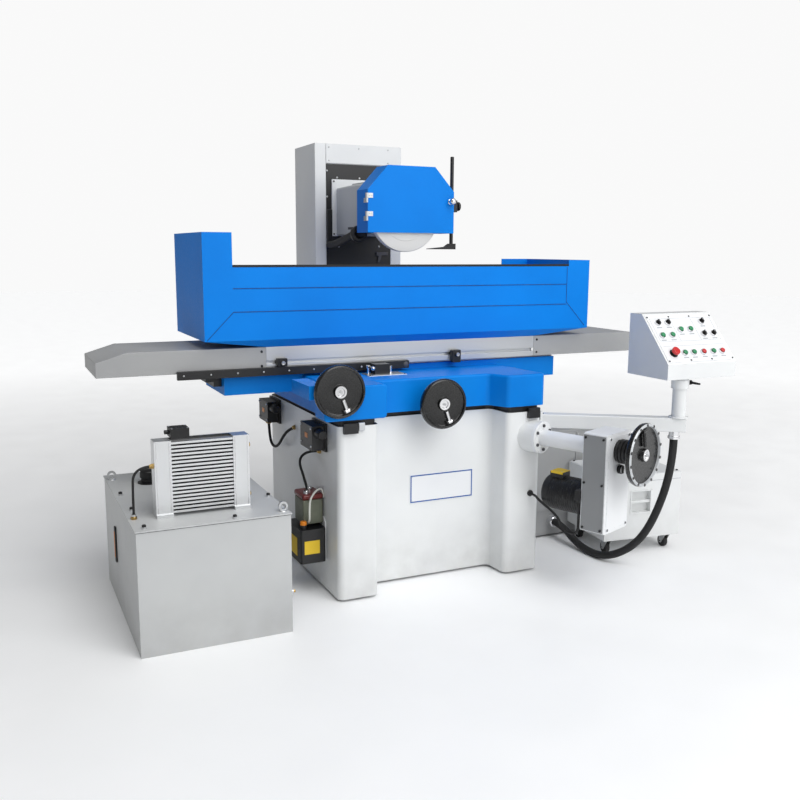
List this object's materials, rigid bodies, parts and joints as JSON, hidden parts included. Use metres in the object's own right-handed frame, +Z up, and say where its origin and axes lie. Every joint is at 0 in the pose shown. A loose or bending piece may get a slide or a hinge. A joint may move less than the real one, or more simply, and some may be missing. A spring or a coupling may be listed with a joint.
{
  "type": "hydraulic surface grinder",
  "caption": "Surface grinding machine: column-mounted wheel head over a long table in a splash guard, front handwheels, arm-mounted control pendant, oil power pack and coolant tank.",
  "frame": {"origin": "on the floor, at the centre of the middle levelling pad under the machine base", "axes": "+X to the right along the table as the operator sees it, +Y to the back, +Z up"},
  "size_m": [2.922, 2.0024, 2.098],
  "materials": {
    "light_paint": "light grey semi-gloss machine enamel",
    "blue_paint": "bright blue semi-gloss machine enamel",
    "black_paint": "black satin paint",
    "ground_steel": "ground steel",
    "dark_metal": "dark oiled iron",
    "cast_grey": "grey enamel on a casting",
    "black_plastic": "black moulded plastic",
    "bare_aluminium": "bare aluminium fins",
    "caster_rubber": "black rubber tread",
    "zinc_plate": "zinc plated pressing",
    "black_rubber": "black rubber sheath",
    "bright_chrome": "chrome plated",
    "abrasive": "bonded abrasive, pale grey and grainy",
    "green_plastic": "green button plastic",
    "red_plastic": "red button plastic"
  },
  "bodies": {
    "frame": {"base_casting": "light_paint", "levelling_feet": "dark_metal", "column": "light_paint", "oiling_gear": "black_paint", "elevation_housing": "light_paint", "elevation_motor": "black_paint", "pendant_arm": "light_paint", "hydraulic_tank": "light_paint", "oil_cooler": "bare_aluminium", "coolant_tank": "light_paint", "cabinet": "light_paint", "conduit_hose": "black_rubber", "motor_cable": "black_rubber", "cooler_hose": "black_rubber"},
    "saddle": {"saddle": "blue_paint", "table_drive_box": "blue_paint"},
    "table": {"table": "ground_steel", "table_end_covers": "light_paint", "splash_guard": "blue_paint", "magnetic_chuck": "ground_steel"},
    "head": {"wheel_head": "cast_grey", "wheel_hood": "blue_paint"},
    "spindle": {"spindle": "bright_chrome", "grinding_wheel": "abrasive"},
    "pendant": {"control_box": "light_paint"},
    "guard_door": {"guard_door": "blue_paint"},
    "coolant_rod": {"coolant_rod": "black_paint"},
    "rod_clamp_knob": {"rod_clamp_knob": "black_plastic"},
    "table_handwheel": {"table_handwheel": "black_plastic"},
    "table_grip": {"table_grip": "bright_chrome"},
    "cross_handwheel": {"cross_handwheel": "black_plastic"},
    "cross_grip": {"cross_grip": "bright_chrome"},
    "elevation_handwheel": {"elevation_handwheel": "black_plastic"},
    "elevation_grip": {"elevation_grip": "bright_chrome"},
    "elevation_knob": {"elevation_knob": "black_plastic"},
    "reversing_lever": {"reversing_lever": "bright_chrome"},
    "trip_dog_left": {"trip_dog_left": "black_paint"},
    "trip_dog_right": {"trip_dog_right": "black_paint"},
    "swivel_clamp": {"swivel_clamp": "black_plastic"},
    "selector_1": {"selector_1": "black_plastic"},
    "selector_2": {"selector_2": "black_plastic"},
    "selector_3": {"selector_3": "black_plastic"},
    "selector_4": {"selector_4": "black_plastic"},
    "selector_5": {"selector_5": "black_plastic"},
    "green_button_1": {"green_button_1": "green_plastic"},
    "green_button_2": {"green_button_2": "green_plastic"},
    "green_button_3": {"green_button_3": "green_plastic"},
    "green_button_4": {"green_button_4": "green_plastic"},
    "green_button_5": {"green_button_5": "green_plastic"},
    "green_button_6": {"green_button_6": "green_plastic"},
    "green_button_7": {"green_button_7": "green_plastic"},
    "red_button_1": {"red_button_1": "red_plastic"},
    "red_button_2": {"red_button_2": "red_plastic"},
    "emergency_stop": {"emergency_stop": "red_plastic"},
    "caster_fork_left": {"caster_fork_left": "zinc_plate"},
    "caster_wheel_left": {"caster_wheel_left": "caster_rubber"},
    "caster_fork_right": {"caster_fork_right": "zinc_plate"},
    "caster_wheel_right": {"caster_wheel_right": "caster_rubber"},
    "rear_axle": {"rear_axle": "caster_rubber"},
    "cooler_fan": {"cooler_fan": "black_paint"}
  },
  "joints": [
    {"name": "saddle_cross", "type": "slide", "parent": "frame", "child": "saddle", "axis": [0, 1, 0], "range_m": [-0.34, 0.04]},
    {"name": "table_traverse", "type": "slide", "parent": "saddle", "child": "table", "axis": [1, 0, 0], "range_m": [-0.55, 0.55]},
    {"name": "head_elevation", "type": "slide", "parent": "frame", "child": "head", "axis": [0, 0, 1], "range_m": [-0.33, 0]},
    {"name": "wheel_spin", "type": "hinge", "parent": "head", "child": "spindle", "pos_m": [0, -0.248, 1.718], "axis": [0, 1, 0], "continuous": true},
    {"name": "guard_door_hinge", "type": "hinge", "parent": "head", "child": "guard_door", "pos_m": [-0.212, -0.285, 1.75], "axis": [0, 0, -1], "range_deg": [0, 110]},
    {"name": "coolant_rod_slide", "type": "slide", "parent": "head", "child": "coolant_rod", "axis": [0, 0, 1], "range_m": [-0.02, 0.04]},
    {"name": "rod_clamp_turn", "type": "hinge", "parent": "head", "child": "rod_clamp_knob", "pos_m": [0.288, -0.232, 1.7635], "axis": [1, 0, 0], "range_deg": [-90, 90]},
    {"name": "table_handwheel_turn", "type": "hinge", "parent": "saddle", "child": "table_handwheel", "pos_m": [-0.53, -0.76, 0.959], "axis": [0, 1, 0], "continuous": true},
    {"name": "table_grip_fold", "type": "hinge", "parent": "table_handwheel", "child": "table_grip", "pos_m": [-0.50024, -0.755, 0.87725], "axis": [0.9397, 0, 0.342], "range_deg": [0, 90]},
    {"name": "cross_handwheel_turn", "type": "hinge", "parent": "saddle", "child": "cross_handwheel", "pos_m": [-0.015, -0.72, 0.866], "axis": [0, 1, 0], "continuous": true},
    {"name": "cross_grip_fold", "type": "hinge", "parent": "cross_handwheel", "child": "cross_grip", "pos_m": [0.01476, -0.715, 0.78425], "axis": [0.9397, 0, 0.342], "range_deg": [0, 90]},
    {"name": "elevation_handwheel_turn", "type": "hinge", "parent": "frame", "child": "elevation_handwheel", "pos_m": [0.692, -1.25252, 0.678], "axis": [-0.3714, 0.9285, 0], "continuous": true},
    {"name": "elevation_grip_fold", "type": "hinge", "parent": "elevation_handwheel", "child": "elevation_grip", "pos_m": [0.67208, -1.2551, 0.7883], "axis": [-0.9144, -0.3657, -0.1736], "range_deg": [0, 90]},
    {"name": "elevation_knob_turn", "type": "hinge", "parent": "frame", "child": "elevation_knob", "pos_m": [0.64687, -1.12625, 0.594], "axis": [0.3714, -0.9285, 0], "range_deg": [0, 90]},
    {"name": "reversing_lever_swing", "type": "hinge", "parent": "saddle", "child": "reversing_lever", "pos_m": [-0.262, -0.418, 0.99], "axis": [0, 0, 1], "range_deg": [-25, 25]},
    {"name": "trip_dog_left_slide", "type": "slide", "parent": "table", "child": "trip_dog_left", "axis": [1, 0, 0], "range_m": [-0.04, 0.4]},
    {"name": "trip_dog_right_slide", "type": "slide", "parent": "table", "child": "trip_dog_right", "axis": [1, 0, 0], "range_m": [-0.2, 0.4]},
    {"name": "pendant_swivel", "type": "hinge", "parent": "frame", "child": "pendant", "pos_m": [1.08, -1.012, 0.957], "axis": [0, 0, 1], "range_deg": [-45, 45]},
    {"name": "swivel_clamp_turn", "type": "hinge", "parent": "frame", "child": "swivel_clamp", "pos_m": [1.121, -1.012, 0.939], "axis": [1, 0, 0], "range_deg": [0, 60]},
    {"name": "selector_1_turn", "type": "hinge", "parent": "pendant", "child": "selector_1", "pos_m": [1.012, -0.91102, 1.21368], "axis": [0, 0.7433, -0.669], "range_deg": [-45, 45]},
    {"name": "selector_2_turn", "type": "hinge", "parent": "pendant", "child": "selector_2", "pos_m": [1.071, -0.91102, 1.21368], "axis": [0, 0.7433, -0.669], "range_deg": [-45, 45]},
    {"name": "selector_3_turn", "type": "hinge", "parent": "pendant", "child": "selector_3", "pos_m": [1.279, -0.91102, 1.21368], "axis": [0, 0.7433, -0.669], "range_deg": [-45, 45]},
    {"name": "selector_4_turn", "type": "hinge", "parent": "pendant", "child": "selector_4", "pos_m": [1.254, -0.95986, 1.15942], "axis": [0, 0.7433, -0.669], "range_deg": [-45, 45]},
    {"name": "selector_5_turn", "type": "hinge", "parent": "pendant", "child": "selector_5", "pos_m": [1.313, -0.95986, 1.15942], "axis": [0, 0.7433, -0.669], "range_deg": [-45, 45]},
    {"name": "green_button_1_press", "type": "slide", "parent": "pendant", "child": "green_button_1", "axis": [0, 0.7433, -0.669], "range_m": [0, 0.004], "stiffness_N_per_m": 400, "springref_m": -0.002},
    {"name": "green_button_2_press", "type": "slide", "parent": "pendant", "child": "green_button_2", "axis": [0, 0.7433, -0.669], "range_m": [0, 0.004], "stiffness_N_per_m": 400, "springref_m": -0.002},
    {"name": "green_button_3_press", "type": "slide", "parent": "pendant", "child": "green_button_3", "axis": [0, 0.7433, -0.669], "range_m": [0, 0.004], "stiffness_N_per_m": 400, "springref_m": -0.002},
    {"name": "green_button_4_press", "type": "slide", "parent": "pendant", "child": "green_button_4", "axis": [0, 0.7433, -0.669], "range_m": [0, 0.004], "stiffness_N_per_m": 400, "springref_m": -0.002},
    {"name": "green_button_5_press", "type": "slide", "parent": "pendant", "child": "green_button_5", "axis": [0, 0.7433, -0.669], "range_m": [0, 0.004], "stiffness_N_per_m": 400, "springref_m": -0.002},
    {"name": "green_button_6_press", "type": "slide", "parent": "pendant", "child": "green_button_6", "axis": [0, 0.7433, -0.669], "range_m": [0, 0.004], "stiffness_N_per_m": 400, "springref_m": -0.002},
    {"name": "green_button_7_press", "type": "slide", "parent": "pendant", "child": "green_button_7", "axis": [0, 0.7433, -0.669], "range_m": [0, 0.004], "stiffness_N_per_m": 400, "springref_m": -0.002},
    {"name": "red_button_1_press", "type": "slide", "parent": "pendant", "child": "red_button_1", "axis": [0, 0.7433, -0.669], "range_m": [0, 0.004], "stiffness_N_per_m": 400, "springref_m": -0.002},
    {"name": "red_button_2_press", "type": "slide", "parent": "pendant", "child": "red_button_2", "axis": [0, 0.7433, -0.669], "range_m": [0, 0.004], "stiffness_N_per_m": 400, "springref_m": -0.002},
    {"name": "emergency_stop_press", "type": "slide", "parent": "pendant", "child": "emergency_stop", "axis": [0, 0.7433, -0.669], "range_m": [0, 0.005]},
    {"name": "caster_swivel_left", "type": "hinge", "parent": "frame", "child": "caster_fork_left", "pos_m": [0.98513, -0.64774, 0.082], "axis": [0, 0, 1], "continuous": true},
    {"name": "caster_roll_left", "type": "hinge", "parent": "caster_fork_left", "child": "caster_wheel_left", "pos_m": [0.98716, -0.62986, 0.03], "axis": [0.9936, -0.1132, 0], "continuous": true},
    {"name": "caster_swivel_right", "type": "hinge", "parent": "frame", "child": "caster_fork_right", "pos_m": [1.33387, -0.68748, 0.082], "axis": [0, 0, 1], "continuous": true},
    {"name": "caster_roll_right", "type": "hinge", "parent": "caster_fork_right", "child": "caster_wheel_right", "pos_m": [1.33591, -0.66959, 0.03], "axis": [0.9936, -0.1132, 0], "continuous": true},
    {"name": "rear_axle_roll", "type": "hinge", "parent": "frame", "child": "rear_axle", "pos_m": [0.96958, -0.36013, 0.03], "axis": [0.9936, -0.1132, 0], "continuous": true},
    {"name": "fan_spin", "type": "hinge", "parent": "frame", "child": "cooler_fan", "pos_m": [-1.117, -0.62, 0.665], "axis": [0, 1, 0], "continuous": true}
  ],
  "couplings": [
    {"joint": "table_handwheel_turn", "follows": "table_traverse", "rad_per_m": 35.7}
  ]
}
